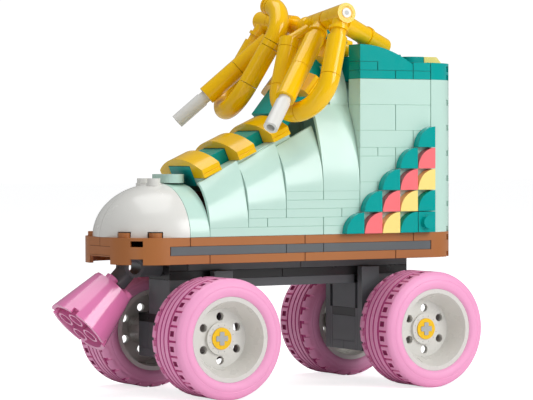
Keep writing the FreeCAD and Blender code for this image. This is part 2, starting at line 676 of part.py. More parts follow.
def cross_bar(length, radius, arm):
    """A bar of cross section, centred on the origin and lying along Y."""
    corner = arm / 2
    arms = [box(-radius, radius, -length / 2, length / 2, -corner, corner),
            box(-corner, corner, -length / 2, length / 2, -radius, radius)]
    round_bar = Part.makeCylinder(radius, length, Vector(0, -length / 2, 0), Vector(0, 1, 0))
    return arms[0].fuse(arms[1]).common(round_bar)


def cross_rod(length):
    return cross_bar(length, ROD_R, ROD_ARM)


def right_rim(axle_x):
    dish_face_r = 13.6
    dish_floor_r = 10.4
    back = RIM_DISC - RIM_DISC_THICK
    barrel_in = RIM_R - 1.6
    outline = [
        (HOLE_R, HUB_IN), (HUB_R, HUB_IN), (HUB_R, back), (barrel_in - 1.0, back),
        (barrel_in, RIM_IN), (RIM_R, RIM_IN), (RIM_R, RIM_OUT), (dish_face_r, RIM_OUT),
        (dish_floor_r, RIM_DISC), (HUB_R, RIM_DISC), (HUB_R, HUB_FACE), (BUSH_R + 0.05, HUB_FACE),
        (BUSH_R + 0.05, HUB_POCKET), (HOLE_R, HUB_POCKET),
    ]
    rim = turned(outline, axle_x)
    holes = []
    for index in range(6):
        angle = math.radians(30 + 60 * index)
        x = axle_x + RIM_HOLE_CIRCLE * math.cos(angle)
        z = AXLE_Z + RIM_HOLE_CIRCLE * math.sin(angle)
        holes.append(rod(RIM_HOLE_R, Vector(x, back - 1, z), Vector(x, RIM_DISC + 1, z)))
    return rim.cut(holes)


def right_tyre(axle_x):
    bead_r = RIM_R + 0.05
    middle = (TYRE_IN + TYRE_OUT) / 2
    half = (TYRE_OUT - TYRE_IN) / 2
    outline = [(bead_r, middle - half + 0.9), (17.4, middle - half), (19.4, middle - half + 0.1),
               (20.7, middle - half + 0.9), (21.35, middle - half + 2.1),
               (TYRE_R, middle - half + 3.4), (TYRE_R, middle + half - 3.4),
               (21.35, middle + half - 2.1), (20.7, middle + half - 0.9),
               (19.4, middle + half - 0.1), (17.4, middle + half), (bead_r, middle + half - 0.9)]
    tyre = turned(outline, axle_x)
    grooves = []
    for offset in (-3.6, -1.2, 1.2, 3.6):
        y = middle + offset
        ring = [(TYRE_R - 0.8, y - 0.35), (TYRE_R + 1, y - 0.35), (TYRE_R + 1, y + 0.35),
                (TYRE_R - 0.8, y + 0.35)]
        grooves.append(turned(ring, axle_x))
    return tyre.cut(grooves)


def build_wheels(end, axle_x):
    rod_length = 2 * (BUSH_OUT + 0.2)
    axle = cross_rod(rod_length)
    axle.translate(Vector(axle_x, 0, AXLE_Z))
    keep(end + "_axle", [axle])
    rim = right_rim(axle_x)
    tyre = right_tyre(axle_x)
    keep(end + "_right_rim", [rim])
    keep(end + "_left_rim", [mirrored(rim)])
    keep(end + "_right_tyre", [tyre])
    keep(end + "_left_tyre", [mirrored(tyre)])
    bush = rod(BUSH_R, Vector(axle_x, HUB_POCKET + GAP, AXLE_Z), Vector(axle_x, BUSH_OUT, AXLE_Z))
    cross_hole = cross_bar(rod_length + 2, HOLE_R, ROD_ARM + 2 * ROD_EASE)
    cross_hole.translate(Vector(axle_x, 0, AXLE_Z))
    keep(end + "_hub_bushes", both_sides([bush.cut(cross_hole)]))


# ---- toe stop --------------------------------------------------------------------
def build_toe_stop():
    centre = Vector(ELBOW_X, 0, ELBOW_Z)
    down = Vector(-math.cos(math.radians(STOP_ANGLE)), 0, -math.sin(math.radians(STOP_ANGLE)))
    back_end = Vector(-13 * PITCH - GAP, 0, ELBOW_Z)
    barrel = rod(ELBOW_R, centre + Vector(0, -PITCH / 2 + GAP, 0), centre + Vector(0, PITCH / 2 - GAP, 0))
    arms = [rod(ELBOW_R, centre, back_end), rod(ELBOW_R, centre, centre + down * ELBOW_ARM)]
    elbow = barrel.fuse(arms)
    pin_hole = rod(HOLE_R, centre - Vector(0, PITCH, 0), centre + Vector(0, PITCH, 0))
    socket_start = HOLE_R + WALL
    sockets = [rod(HOLE_R, centre + Vector(socket_start, 0, 0), back_end + Vector(1, 0, 0)),
               rod(HOLE_R, centre + down * socket_start, centre + down * (ELBOW_ARM + 1))]
    keep("toe_stop_elbow", [elbow.cut([pin_hole] + sockets)])
    # Cross rods: one into the chassis block, one into the stop.
    rods = []
    for start, end in ((centre + Vector(socket_start + GAP, 0, 0), Vector(-12 * PITCH - GAP, 0, ELBOW_Z)),
                       (centre + down * (socket_start + GAP), centre + down * (STOP_TOP + PITCH))):
        bar = cross_rod((end - start).Length)
        bar.Placement = FreeCAD.Placement((start + end) * 0.5,
                                          FreeCAD.Rotation(Vector(0, 1, 0), end - start))
        rods.append(bar)
    keep("toe_stop_rods", rods)
    # The stop is built upright, small end up, then swung into place.
    wall = WALL
    solid = Part.makeCone(STOP_BASE_R, STOP_TOP_R, STOP_H)
    hollow = Part.makeCone(STOP_BASE_R - wall, STOP_TOP_R - wall, STOP_H - 2 * wall)
    stop = solid.cut(hollow)
    places = [Vector(x, y, 0) for x in (-PITCH / 2, PITCH / 2) for y in (-PITCH / 2, PITCH / 2)]
    inner_top = STOP_H - 2 * wall + 0.2
    tubes = [Part.makeCylinder(TUBE_R, inner_top, place).cut(
        Part.makeCylinder(TUBE_BORE_R, inner_top - 1, place)) for place in places]
    tubes = [tube.common(solid) for tube in tubes]
    knobs = [Part.makeCylinder(STUD_R, STUD_H + 0.2, place + Vector(0, 0, STOP_H - 0.2))
             for place in places]
    core = Part.makeCylinder(ROD_R + wall, PITCH + wall, Vector(0, 0, STOP_H - PITCH - wall))
    stop = stop.fuse(tubes + knobs + [core])
    bore = Part.makeCylinder(HOLE_R, PITCH + 0.2, Vector(0, 0, STOP_H - PITCH - 0.1))
    notches = [box(-1.2, 1.2, -STOP_BASE_R - 1, STOP_BASE_R + 1, -1, 2.0),
               box(-STOP_BASE_R - 1, STOP_BASE_R + 1, -1.2, 1.2, -1, 2.0)]
    rim_only = Part.makeCylinder(STOP_BASE_R - 1.9, 5, Vector(0, 0, -1))
    notches = [notch.cut(rim_only) for notch in notches]
    for notch in notches:
        notch.rotate(Vector(0, 0, 0), Vector(0, 0, 1), 45)
    stop = stop.cut([bore] + notches)
    base = centre + down * (STOP_TOP + STOP_H)
    stop.Placement = FreeCAD.Placement(base, FreeCAD.Rotation(Vector(0, 0, 1), down * -1))
    keep("toe_stop", [stop])


# ---- laces -----------------------------------------------------------------------
def arm_point(distance):
    """Point on the left arm's centre line, this far from the knot."""
    return KNOT + unit(ARM_REACH) * distance


def arm_ring(span, outer_r, inner_r):
    start, end = arm_point(span[0]), arm_point(span[1])
    ring = rod(outer_r, start, end)
    if inner_r:
        ring = ring.cut(rod(inner_r, start - unit(ARM_REACH), end + unit(ARM_REACH)))
    return ring


def hollow_tube(start, direction, length):
    axis = unit(direction)
    a = start + axis * GAP
    b = start + axis * (length - GAP)
    return rod(LACE_R, a, b).cut(rod(LACE_BORE_R, a - axis, b + axis))


def elbow_tube(start, direction, side, radius, degrees=90.0):
    """A bent tube that leaves start along direction and bends towards side."""
    axis_in = unit(direction)
    toward = unit(side)
    centre = start + toward * radius
    turn_axis = axis_in.cross(toward)
    ring = Part.Face(Part.Wire(Part.makeCircle(LACE_R, start, axis_in)))
    bore = Part.Face(Part.Wire(Part.makeCircle(LACE_BORE_R, start, axis_in)))
    trim = math.degrees(GAP / radius)
    section = ring.cut(bore)
    section.rotate(centre, turn_axis, trim)
    return section.revolve(centre, turn_axis, degrees - 2 * trim).Solids[0]


def eye_with_neck(span, station, foot):
    """An eye that turns on the arm, with a flanged neck reaching to the tube."""
    middle = arm_point(station)
    axis = unit(foot - middle)
    neck = rod(NECK_R, middle, foot + axis * 4.0)
    flange = rod(LACE_R, middle + axis * FLANGE[0], middle + axis * FLANGE[1])
    eye = arm_ring(span, LACE_R, 0).fuse([neck, flange])
    bore = rod(HOLE_R, arm_point(span[0] - 2), arm_point(span[1] + 2))
    return eye.cut(bore)


def lace_end():
    axis = unit(LACE_DIR)
    top = arm_point(LACE_STATION) + axis * NECK_LENGTH
    eye = eye_with_neck(LACE_EYE, LACE_STATION, top)
    tubes = [hollow_tube(top + axis * (LACE_SECTION * index), axis, LACE_SECTION)
             for index in range(2)]
    tubes[0] = tubes[0].cut(rod(NECK_R + 0.02, top - axis, top + axis * 4.2))
    eye = [eye]
    tip = top + axis * (2 * LACE_SECTION)
    neck = rod(LACE_BORE_R - 0.03, tip - axis * 4.0, tip + axis * 2.2)
    body = rod(AGLET_R, tip + axis * 2.0, tip + axis * AGLET_LENGTH)
    bore = rod(AGLET_BORE_R, tip - axis * 5.0, tip + axis * (AGLET_LENGTH + 1))
    return eye + tubes, neck.fuse(body).cut(bore)


def lace_loop(with_top_bend):
    """The loop of the bow on the left; with_top_bend gives the one that arches over the arm."""
    down = unit(LOOP_DIR)
    side = LOOP_SIDE - down * LOOP_SIDE.dot(down)
    side = unit(side)
    top = arm_point(OUTER_STATION) + down * NECK_LENGTH
    eye = eye_with_neck(OUTER_EYE, OUTER_STATION, top)
    straight = hollow_tube(top, down, LACE_SECTION).cut(rod(NECK_R + 0.02, top - down,
                                                            top + down * 4.2))
    low = top + down * LACE_SECTION
    bend_one = elbow_tube(low, down, side, LOOP_R)
    lowest = low + side * LOOP_R + down * LOOP_R
    bend_two = elbow_tube(lowest, side, down * -1, LOOP_R)
    rise = lowest + side * LOOP_R - down * LOOP_R
    inner = hollow_tube(rise, down * -1, LACE_SECTION)
    crest = rise - down * LACE_SECTION
    pieces = [eye, straight, bend_one, bend_two, inner]
    if with_top_bend:
        link = hollow_tube(crest, down * -1, TOP_LINK)
        start = crest - down * TOP_LINK
        over = Vector(0, -0.976, 0.216)
        over = unit(over - down * over.dot(down))
        bend = elbow_tube(start, down * -1, over, LOOP_R)
        end = start + over * LOOP_R - down * LOOP_R
        cap = rod(LACE_R + 0.2, end + over * GAP, end + over * 1.2)
        cap = cap.fuse([rod(LACE_R - 0.3, end + over * 1.2, end + over * 2.0),
                        rod(LACE_R + 0.2, end + over * 2.0, end + over * 3.0)])
        pieces += [link, bend, cap]
    else:
        eye_middle = arm_point(sum(INNER_EYE) / 2)
        knee = crest - down * 4.0
        collar = hollow_tube(crest, down * -1, 4.0)
        reach = unit(eye_middle - knee)
        inner_neck = rod(INNER_NECK_R, knee + down * 3.0, knee).fuse(
            [Part.makeSphere(INNER_NECK_R, knee), rod(INNER_NECK_R, knee, eye_middle)])
        inner_neck = inner_neck.fuse([arm_ring(INNER_EYE, LACE_R, 0)])
        inner_neck = inner_neck.cut(rod(HOLE_R, arm_point(INNER_EYE[0] - 2),
                                        arm_point(INNER_EYE[1] + 2)))
        collar = collar.cut(inner_neck)
        pieces += [collar, inner_neck]
    return pieces


def leaning_right(piece):
    """A piece of the left arm turned further forward and moved to the right arm."""
    return mirrored(piece.rotated(KNOT, unit(ARM_REACH) * -1, RIGHT_LEAN))


def build_laces():
    left_end, left_tip = lace_end()
    keep("lace_end_left", left_end)
    keep("lace_end_right", [leaning_right(piece) for piece in left_end])
    keep("aglet_left", [left_tip])
    keep("aglet_right", [leaning_right(left_tip)])
    keep("loop_left", lace_loop(False))
    keep("loop_right", [leaning_right(piece) for piece in lace_loop(True)])
    # The knot: two arms from a ball, with fixed collars between the turning eyes.
    arm = arm_ring((0, ARM_LENGTH), ROD_R, 0)
    collars = [arm_ring(STEM_COLLAR, LACE_R, 0), arm_ring(SPACER_COLLAR, LACE_R, 0)]
    stem_top = arm_point(STEM_STATION)
    stem_axis = unit(STEM_FOOT - stem_top)
    stem = rod(LACE_R - 0.2, stem_top + stem_axis * STEM_SHOULDER, STEM_FOOT)
    root = rod(STEM_ROOT_R, stem_top, stem_top + stem_axis * (STEM_SHOULDER + 1))
    ring_at = stem_top + (STEM_FOOT - stem_top) * 0.62
    flange = rod(LACE_R + 0.3, ring_at, ring_at + stem_axis * 1.4)
    half = arm.fuse(collars + [root, stem, flange])
    hub = Part.makeSphere(KNOT_BALL_R, KNOT).fuse([half, mirrored(half)])
    keep("knot_hub", [hub])


def export_all():
    everything = Part.makeCompound([shape for shapes in nodes.values() for shape in shapes])
    bounds = everything.BoundBox
    shift = Vector(-(bounds.XMin + bounds.XMax) / 2, 0, STAND)
    os.makedirs("parts", exist_ok=True)
    for name, shapes in sorted(nodes.items()):
        solids = [solid for shape in shapes for solid in shape.Solids]
        group = Part.makeCompound(solids)
        group.translate(shift)
        group.exportStep("parts/" + name + ".step")
    print("nodes", len(nodes), "shift", round(shift.x, 3), round(shift.z, 3))
    print("size", round(bounds.XLength, 2), round(bounds.YLength, 2), round(bounds.ZLength, 2))


build_sole()
build_toe()
build_vamp()
build_instep()
build_shaft()
build_mosaic()
build_collar()
build_chassis()
build_truck(FRONT_AXLE_X, 1)
build_truck(REAR_AXLE_X, -1)
build_wheels("front", FRONT_AXLE_X)
build_wheels("rear", REAR_AXLE_X)
build_toe_stop()
build_laces()
export_all()
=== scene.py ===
import json
import math

import bmesh
import bpy
from mathutils import Matrix, Vector


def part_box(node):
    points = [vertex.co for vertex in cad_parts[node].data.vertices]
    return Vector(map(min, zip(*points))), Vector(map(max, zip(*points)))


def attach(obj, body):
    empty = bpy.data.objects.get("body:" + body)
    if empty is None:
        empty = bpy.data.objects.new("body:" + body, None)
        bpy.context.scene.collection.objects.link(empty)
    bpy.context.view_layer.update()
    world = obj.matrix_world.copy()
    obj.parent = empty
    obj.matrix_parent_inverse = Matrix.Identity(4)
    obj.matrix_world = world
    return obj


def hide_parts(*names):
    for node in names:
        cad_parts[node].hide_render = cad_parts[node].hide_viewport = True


# The looks of a brick-built roller skate: finishes for the moulded pieces, the treaded
# tyres, the small details that sit on them, and the studio they stand in.
# Lengths in the piece tables are in millimetres.

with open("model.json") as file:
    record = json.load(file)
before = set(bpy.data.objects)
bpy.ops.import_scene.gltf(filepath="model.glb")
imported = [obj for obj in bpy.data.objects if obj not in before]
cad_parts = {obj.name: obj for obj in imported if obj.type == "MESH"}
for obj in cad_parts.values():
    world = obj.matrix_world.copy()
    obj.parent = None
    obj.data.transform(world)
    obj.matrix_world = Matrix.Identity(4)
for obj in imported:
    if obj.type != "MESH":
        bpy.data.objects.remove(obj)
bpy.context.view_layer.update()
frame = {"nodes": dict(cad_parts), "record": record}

MM = 0.001
WELD = 0.0005                  # corners nearer than this become one
FULL_TURN = 2 * math.pi


# ---- where things are ------------------------------------------------------------
def middle(node):
    low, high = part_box(node)
    return (Vector(low) + Vector(high)) / 2


WHEELS = [(end, side) for end in ("front", "rear") for side in ("left", "right")]
AXLES = {"front": middle("front_axle"), "rear": middle("rear_axle")}
TYRE_LOW, TYRE_HIGH = (Vector(corner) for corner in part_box("front_right_tyre"))
TYRE_R = (TYRE_HIGH.z - TYRE_LOW.z) / 2 / MM
TYRE_Y = (TYRE_LOW.y / MM, TYRE_HIGH.y / MM)


# ---- finishes --------------------------------------------------------------------
def tint(code):
    """A colour written the way a paint chart does, as the linear values a shader takes."""
    parts = [int(code[i:i + 2], 16) / 255 for i in (0, 2, 4)]
    return tuple(p / 12.92 if p <= 0.04045 else ((p + 0.055) / 1.055) ** 2.4
                 for p in parts) + (1.0,)


def socket(group, name, kind, way, value=None):
    made = group.interface.new_socket(name=name, in_out=way, socket_type=kind)
    if value is not None:
        made.default_value = value


def moulded_surface():
    """Shared by every plastic: faint flow clouding, handling haze and a fine ripple."""
    group = bpy.data.node_groups.new("moulded_surface", "ShaderNodeTree")
    socket(group, "Colour", "NodeSocketColor", "INPUT", (0.8, 0.8, 0.8, 1))
    socket(group, "Clouding", "NodeSocketFloat", "INPUT", 0.04)
    socket(group, "Gloss low", "NodeSocketFloat", "INPUT", 0.2)
    socket(group, "Gloss high", "NodeSocketFloat", "INPUT", 0.3)
    socket(group, "Ripple", "NodeSocketFloat", "INPUT", 0.02)
    socket(group, "Colour", "NodeSocketColor", "OUTPUT")
    socket(group, "Roughness", "NodeSocketFloat", "OUTPUT")
    socket(group, "Normal", "NodeSocketVector", "OUTPUT")
    nodes, links = group.nodes, group.links
    given = nodes.new("NodeGroupInput")
    result = nodes.new("NodeGroupOutput")
    place = nodes.new("ShaderNodeTexCoord")
    cloud = nodes.new("ShaderNodeTexNoise")
    cloud.inputs["Scale"].default_value = 55.0
    cloud.inputs["Detail"].default_value = 3.0
    haze = nodes.new("ShaderNodeTexNoise")
    haze.inputs["Scale"].default_value = 210.0
    haze.inputs["Detail"].default_value = 4.0
    links.new(place.outputs["Object"], cloud.inputs["Vector"])
    links.new(place.outputs["Object"], haze.inputs["Vector"])
    # Darken the colour a little where the clouding is dense.
    shade = nodes.new("ShaderNodeMath")
    shade.operation = "MULTIPLY"
    links.new(cloud.outputs["Fac"], shade.inputs[0])
    links.new(given.outputs["Clouding"], shade.inputs[1])
    blend = nodes.new("ShaderNodeMix")
    blend.data_type = "RGBA"
    blend.blend_type = "MULTIPLY"
    links.new(shade.outputs[0], blend.inputs["Factor"])
    links.new(given.outputs["Colour"], blend.inputs["A"])
    links.new(given.outputs["Colour"], blend.inputs["B"])
    links.new(blend.outputs["Result"], result.inputs["Colour"])
    gloss = nodes.new("ShaderNodeMapRange")
    links.new(haze.outputs["Fac"], gloss.inputs["Value"])
    gloss.inputs["From Min"].default_value = 0.3
    gloss.inputs["From Max"].default_value = 0.7
    links.new(given.outputs["Gloss low"], gloss.inputs["To Min"])
    links.new(given.outputs["Gloss high"], gloss.inputs["To Max"])
    links.new(gloss.outputs["Result"], result.inputs["Roughness"])
    bump = nodes.new("ShaderNodeBump")
    bump.inputs["Distance"].default_value = 0.0002
    links.new(given.outputs["Ripple"], bump.inputs["Strength"])
    links.new(cloud.outputs["Fac"], bump.inputs["Height"])
    links.new(bump.outputs["Normal"], result.inputs["Normal"])
    return group


SURFACE = moulded_surface()


def plastic(name, code, clouding=0.06, gloss=(0.16, 0.26), ripple=0.05, coat=0.0, specular=0.5):
    """An injection-moulded plastic of one colour."""
    made = bpy.data.materials.new(name)
    made.use_nodes = True
    nodes, links = made.node_tree.nodes, made.node_tree.links
    shader = nodes["Principled BSDF"]
    look = nodes.new("ShaderNodeGroup")
    look.node_tree = SURFACE
    look.inputs["Colour"].default_value = tint(code)
    look.inputs["Clouding"].default_value = clouding
    look.inputs["Gloss low"].default_value, look.inputs["Gloss high"].default_value = gloss
    look.inputs["Ripple"].default_value = ripple
    links.new(look.outputs["Colour"], shader.inputs["Base Color"])
    links.new(look.outputs["Roughness"], shader.inputs["Roughness"])
    links.new(look.outputs["Normal"], shader.inputs["Normal"])
    shader.inputs["IOR"].default_value = 1.52
    shader.inputs["Coat Weight"].default_value = coat
    shader.inputs["Coat Roughness"].default_value = 0.08
    shader.inputs["Specular IOR Level"].default_value = specular
    return made


FINISHES = {
    "aqua_plastic": plastic("light_aqua", "C6E6DA", clouding=0.03),
    "white_plastic": plastic("toe_white", "E6E5E0", gloss=(0.18, 0.28)),
    "brown_plastic": plastic("nougat_brown", "B06C34", gloss=(0.28, 0.4)),
    "dark_red_plastic": plastic("dark_red", "5B1A16", gloss=(0.3, 0.42)),
    "dark_grey_plastic": plastic("stone_grey", "5F6467", gloss=(0.28, 0.4)),
    "black_plastic": plastic("soot_black", "1E1F20", gloss=(0.26, 0.36)),
    "teal_plastic": plastic("turquoise", "00A49F", gloss=(0.16, 0.24), specular=0.2),
    "coral_plastic": plastic("coral", "FF7A80", gloss=(0.16, 0.24)),
    "pale_yellow_plastic": plastic("cream_yellow", "FFE88A", gloss=(0.16, 0.24)),
    "lace_yellow_plastic": plastic("lace_yellow", "FCC800", gloss=(0.14, 0.22), coat=0.15,
                                   specular=0.35),
    "pink_plastic": plastic("candy_pink", "E884B8", gloss=(0.1, 0.17), coat=0.4),
    "pink_tyre": plastic("tyre_pink", "F9A9D3", gloss=(0.42, 0.55), ripple=0.08),
    "rim_plastic": plastic("rim_white", "DEDCD6", gloss=(0.24, 0.34)),
    "light_grey_plastic": plastic("rod_grey", "B4B7B8", gloss=(0.22, 0.32)),
}
# Darker pinks for the groove floors and the pits: painted shade in the tread's recesses.
GROOVE_PAINTED_SHADE = plastic("tread_groove_painted_shade", "D2589B", gloss=(0.5, 0.6))
PIT_PAINTED_SHADE = plastic("tread_pit_painted_shade", "A2306B", gloss=(0.55, 0.65))
# Painted shade: darker copies of the same plastics for the narrow chamfers along the joints,
# standing in for the shadow in the seams.
PAINTED_SEAM_SHADES = {
    "aqua_plastic": plastic("light_aqua_painted_seam_shade", "AED2C4", gloss=(0.4, 0.5)),
    "brown_plastic": plastic("nougat_brown_painted_seam_shade", "85502A", gloss=(0.4, 0.5)),
    "teal_plastic": plastic("turquoise_painted_seam_shade", "007D77", gloss=(0.4, 0.5)),
}
SLOTS = {part["node"]: part["material_slot"] for part in frame["record"]["subparts"]}
for node_name, node in frame["nodes"].items():
    node.data.materials.clear()
    node.data.materials.append(FINISHES[SLOTS[node_name]])


# ---- modelling helpers -----------------------------------------------------------
def finished(name, bm, materials, body):
    """Turn a bmesh in millimetres into a piece that rides on a body."""
    bmesh.ops.remove_doubles(bm, verts=bm.verts, dist=WELD)
    bmesh.ops.scale(bm, vec=(MM, MM, MM), verts=bm.verts)
    mesh = bpy.data.meshes.new(name)
    bm.to_mesh(mesh)
    bm.free()
    for material in materials:
        mesh.materials.append(material)
    piece = bpy.data.objects.new(name, mesh)
    bpy.context.scene.collection.objects.link(piece)
    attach(piece, body)
    return piece


def outline(bm, points):
    """A chain of (radius, y) points, as vertices and edges in the plane z = 0."""
    verts = [bm.verts.new((r, y, 0)) for r, y in points]
    return verts, [bm.edges.new(pair) for pair in zip(verts, verts[1:])]


def lathe(bm, points, steps):
    """Turn a closed outline about the Y axis into a ring."""
    verts, edges = outline(bm, points)
    edges.append(bm.edges.new((verts[-1], verts[0])))
    bmesh.ops.spin(bm, geom=verts + edges, cent=(0, 0, 0), axis=(0, 1, 0), dvec=(0, 0, 0),
                   angle=FULL_TURN, steps=steps, use_merge=True, use_duplicate=False)


def sector(bm, points, degrees, steps, turn=0.0):
    """A solid block whose section is the outline, swept through a few degrees."""
    verts, edges = outline(bm, points)
    edges.append(bm.edges.new((verts[-1], verts[0])))
    first = bm.faces.new(verts)
    bmesh.ops.rotate(bm, verts=verts, cent=(0, 0, 0),
                     matrix=Matrix.Rotation(math.radians(turn - degrees / 2), 3, "Y"))
    bmesh.ops.spin(bm, geom=verts + edges + [first], cent=(0, 0, 0), axis=(0, 1, 0),
                   dvec=(0, 0, 0), angle=math.radians(degrees), steps=steps,
                   use_merge=False, use_duplicate=False)


def to_left_side(bm):
    """Turn a piece made for the right side into its mirror image."""
    bmesh.ops.scale(bm, vec=(1, -1, 1), verts=bm.verts)
    bmesh.ops.reverse_faces(bm, faces=bm.faces)


def take_in(bm, part):
    """Add one bmesh to another and close the first."""
    scrap = bpy.data.meshes.new("carried_part")
    part.to_mesh(scrap)
    part.free()
    bm.from_mesh(scrap)
    bpy.data.meshes.remove(scrap)


def crown_faces(bm, radius):
    """Faces on the running surface of a block, at or beyond a radius."""
    return [face for face in bm.faces
            if min(math.hypot(v.co.x, v.co.z) for v in face.verts) > radius]


# ---- tyres -----------------------------------------------------------------------
# Slots of the darker pinks: painted shade in the tread's grooves and pits.
GROOVE_SHADE_SLOT, PIT_SHADE_SLOT = 1, 2             # places in a tyre's list of materials
BLOCKS = 25
BLOCK_START = 4.2              # from the middle plane to the shoulder blocks
LUG_START = -5.85              # from the middle plane to the lugs of the inner shoulder
PIT_HALF = 1.2                 # half of a pit's length round the tyre
GROOVES = (-5.0, -2.3, 0.4, 3.4)
GROOVE_HALF = 0.4
GROOVE_DEPTH = 0.9
HALF_WIDTH = (TYRE_Y[1] - TYRE_Y[0]) / 2
RIM_BAND = HALF_WIDTH - 2.2    # blocks end here, at a smooth band that runs to the side wall


def tyre_section():
    """(radius, distance from the middle plane) round the whole section, inner side first."""
    top, base = TYRE_R - 0.05, TYRE_R - 0.8
    running = [(base, -5.75), (top, -5.6)]
    for groove in GROOVES:
        running += [(top, groove - GROOVE_HALF), (top - GROOVE_DEPTH, groove - 0.16),
                    (top - GROOVE_DEPTH, groove + 0.16), (top, groove + GROOVE_HALF)]
    running += [(top, 3.85), (base, 4.0)]
    side = [(19.2, HALF_WIDTH - 0.42), (18.8, HALF_WIDTH - 0.26), (18.6, HALF_WIDTH - 0.34),
            (18.3, HALF_WIDTH - 0.1), (17.4, HALF_WIDTH), (16.4, HALF_WIDTH - 0.12),
            (15.7, HALF_WIDTH - 0.5), (15.25, HALF_WIDTH - 1.0)]
    outer = [(base, RIM_BAND - 0.1), (TYRE_R - 0.12, RIM_BAND + 0.1),
             (TYRE_R - 0.3, HALF_WIDTH - 1.7), (TYRE_R - 0.7, HALF_WIDTH - 1.2),
             (TYRE_R - 1.3, HALF_WIDTH - 0.8), (20.0, HALF_WIDTH - 0.6)] + side
    inner = [(base, HALF_WIDTH - 3.2), (base - 0.25, HALF_WIDTH - 2.0),
             (base - 0.75, HALF_WIDTH - 1.1)] + side
    inner = [(r, -y) for r, y in reversed(inner)]
    return inner + running + outer


def shoulder_blocks(bm):
    """Outer shoulder: blocks, each with a small pit in its crown."""
    root, pit_start, pit_end = 20.4, BLOCK_START + 0.6, RIM_BAND - 1.3
    section = [(root, BLOCK_START), (TYRE_R - 0.1, BLOCK_START), (TYRE_R, BLOCK_START + 0.2),
               (TYRE_R, pit_start), (TYRE_R, pit_end), (TYRE_R, RIM_BAND - 0.4),
               (TYRE_R - 0.1, RIM_BAND), (root, RIM_BAND)]
    sector(bm, section, degrees=12.2, steps=7)
    bmesh.ops.recalc_face_normals(bm, faces=bm.faces)
    pit = [face for face in crown_faces(bm, TYRE_R - 0.02)
           if abs(face.calc_center_median().z) < PIT_HALF and face.calc_center_median().x > 0
           and pit_start < face.calc_center_median().y < pit_end]
    for thickness, depth in ((0.1, -0.2), (0.15, -0.5)):
        bmesh.ops.inset_region(bm, faces=pit, thickness=thickness, depth=depth,
                               use_even_offset=True)
        # The pit's walls and floor take the painted pit shade.
        for wall in [wall for face in pit for edge in face.edges for wall in edge.link_faces]:
            wall.material_index = PIT_SHADE_SLOT


def inner_lugs(bm):
    """Inner shoulder: a stepped lug, broad at the side and narrow towards the middle."""
    root, step = 20.2, LUG_START - 1.4
    broad = [(root, 0.9 - HALF_WIDTH), (TYRE_R - 0.8, 1.3 - HALF_WIDTH),
             (TYRE_R - 0.25, 2.6 - HALF_WIDTH), (TYRE_R, 3.4 - HALF_WIDTH),
             (TYRE_R, step + 0.05), (root, step + 0.05)]
    narrow = [(root, step), (TYRE_R, step), (TYRE_R, LUG_START), (root, LUG_START)]
    sector(bm, broad, degrees=11.2, steps=3)
    sector(bm, narrow, degrees=6.4, steps=2, turn=-2.4)


def ring_of(bm, make):
    """Repeat one lug round the tyre."""
    lug = bmesh.new()
    make(lug)
    bmesh.ops.recalc_face_normals(lug, faces=lug.faces)
    geometry = lug.verts[:] + lug.edges[:] + lug.faces[:]
    bmesh.ops.spin(lug, geom=geometry, cent=(0, 0, 0), axis=(0, 1, 0), dvec=(0, 0, 0),
                   angle=FULL_TURN * (BLOCKS - 1) / BLOCKS, steps=BLOCKS - 1,
                   use_merge=False, use_duplicate=True)
    take_in(bm, lug)


def tyre(end, side):
    """A tyre with its tread, in place of the plain one."""
    bm = bmesh.new()
    lathe(bm, tyre_section(), steps=144)
    bmesh.ops.recalc_face_normals(bm, faces=bm.faces)
    # The floors of the grooves and of the gaps between blocks take the painted groove shade.
    for face in bm.faces:
        spot = face.calc_center_median()
        if 3.0 - HALF_WIDTH < spot.y < RIM_BAND and math.hypot(*spot.xz) < TYRE_R - 0.2:
            face.material_index = GROOVE_SHADE_SLOT
    ring_of(bm, shoulder_blocks)
    ring_of(bm, inner_lugs)
    bmesh.ops.translate(bm, verts=bm.verts, vec=(0, (TYRE_Y[0] + TYRE_Y[1]) / 2, 0))
    if side == "left":
        to_left_side(bm)
    axle = AXLES[end] / MM
    bmesh.ops.translate(bm, verts=bm.verts, vec=(axle.x, 0, axle.z))
    for face in bm.faces:
        face.smooth = True
    rubber_and_painted_shade = [FINISHES["pink_tyre"], GROOVE_PAINTED_SHADE, PIT_PAINTED_SHADE]
    piece = finished(f"{end}_{side}_tread", bm, rubber_and_painted_shade, end + "_wheels")
    piece.data.set_sharp_from_angle(angle=math.radians(34))
    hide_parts(f"{end}_{side}_tyre")


for wheel in WHEELS:
    tyre(*wheel)


# ---- hub details -----------------------------------------------------------------
HUB_DOTS = 12
HUB_DOT_RING = 4.85
HUB_DOT_R = 0.2
HUB_FACE_BACK = 0.4            # the flat lies this far inside the end of the bush


def hub_dots(end, side):
    """A ring of pin-head dots on the flat round the bush."""
    bush_end = Vector(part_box(f"{end}_hub_bushes")[1]).y / MM
    bm = bmesh.new()
    for index in range(HUB_DOTS):
        turn = FULL_TURN * (index + 0.5) / HUB_DOTS
        spot = (HUB_DOT_RING * math.cos(turn), bush_end - HUB_FACE_BACK,
                HUB_DOT_RING * math.sin(turn))
        bmesh.ops.create_icosphere(bm, subdivisions=1, radius=HUB_DOT_R,
                                   matrix=Matrix.Translation(spot))
    if side == "left":
        to_left_side(bm)
    axle = AXLES[end] / MM
    bmesh.ops.translate(bm, verts=bm.verts, vec=(axle.x, 0, axle.z))
    finished(f"{end}_{side}_hub_dots", bm, [FINISHES["light_grey_plastic"]], end + "_wheels")


for wheel in WHEELS:
    hub_dots(*wheel)


# ---- end pin of the left arm of the knot ------------------------------------------
KNOT = Vector((24.593, 0.0, 135.0))
LEFT_ARM = Vector((-1.9, -27.0, 3.2)).normalized()
ARM_LENGTH = 31.0
PIN_PARTS = ((1.75, -1.0, 1.35), (0.8, 0.0, 0.5))      # radius, start past the arm, length
WHITE_END, GREY_CORE = 0, 1    # places in the pin's list of materials


